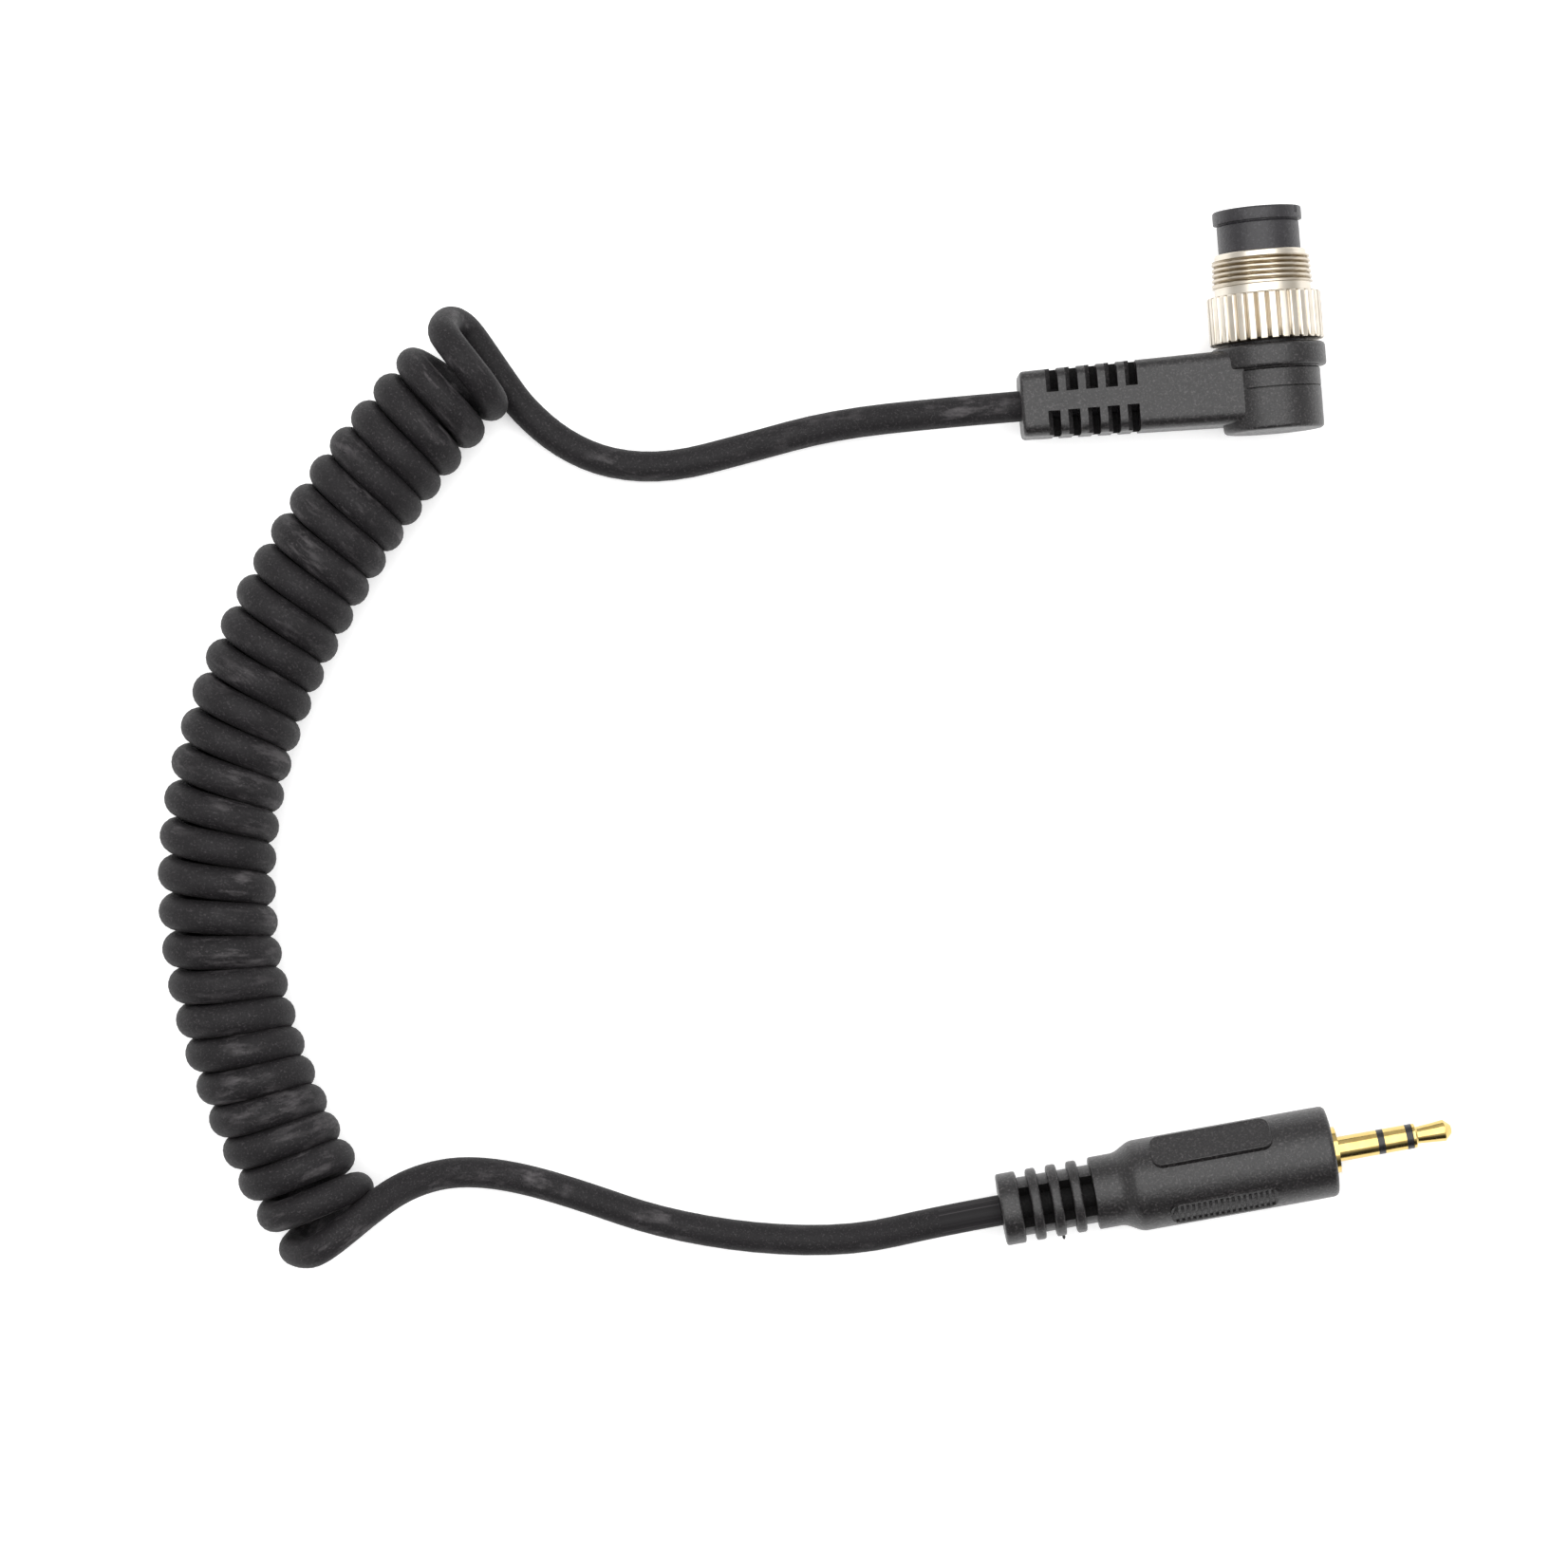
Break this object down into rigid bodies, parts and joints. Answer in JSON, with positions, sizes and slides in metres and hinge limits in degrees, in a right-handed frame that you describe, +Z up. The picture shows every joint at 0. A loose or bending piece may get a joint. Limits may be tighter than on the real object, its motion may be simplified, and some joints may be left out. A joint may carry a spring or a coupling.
{
  "type": "coiled remote release cable",
  "caption": "Coiled camera release cable: right-angle plug with a knurled screw-lock ring at one end, curly rubber cord, small three-contact jack at the other end.",
  "frame": {"origin": "on the table, under the centre of the right-angle camera plug's own box (the plug and its ring, without the free cord and the jack on it)", "axes": "+Y along the camera plug's axis, out of its contact face towards the camera; +Z up from the table; the cord leaves the plug towards -X"},
  "size_m": [0.1263, 0.1006, 0.0118],
  "materials": {
    "moulding": "fine spark-eroded grain, soft black PVC",
    "insert_plastic": "matt black polyamide",
    "cord_jacket": "matt black thermoplastic rubber, lightly scuffed",
    "nickel_plate": "bright nickel plate on turned brass",
    "gold_plate": "polished gold plate",
    "insulator": "smooth black plastic",
    "inner_moulding": "natural polyethylene",
    "tinned_brass": "tinned sheet brass",
    "core_insulation": "thin coloured PVC"
  },
  "bodies": {
    "cable": {"contact_insert": "insert_plastic", "socket_contacts": "gold_plate", "elbow_overmould": "moulding", "elbow_inner_mould": "inner_moulding", "elbow_cord_ferrule": "tinned_brass", "elbow_core_wires": "core_insulation", "cord_end_in_elbow": "cord_jacket", "cord_camera_end": "cord_jacket", "cord_coil": "cord_jacket", "cord_jack_end": "cord_jacket", "jack_tip": "gold_plate", "jack_ring": "gold_plate", "jack_sleeve": "gold_plate", "jack_front_insulator": "insulator", "jack_rear_insulator": "insulator", "tip_terminal": "tinned_brass", "ring_terminal": "tinned_brass", "sleeve_terminal": "tinned_brass", "jack_inner_mould": "inner_moulding", "jack_overmould": "moulding", "jack_core_wires": "core_insulation", "cord_end_in_jack": "cord_jacket"},
    "lock_ring": {"lock_ring": "nickel_plate"}
  },
  "joints": [
    {"name": "lock_ring_turn", "type": "hinge", "parent": "cable", "child": "lock_ring", "pos_m": [0.00965, 0, 0.0057], "axis": [0, 1, 0], "continuous": true}
  ]
}
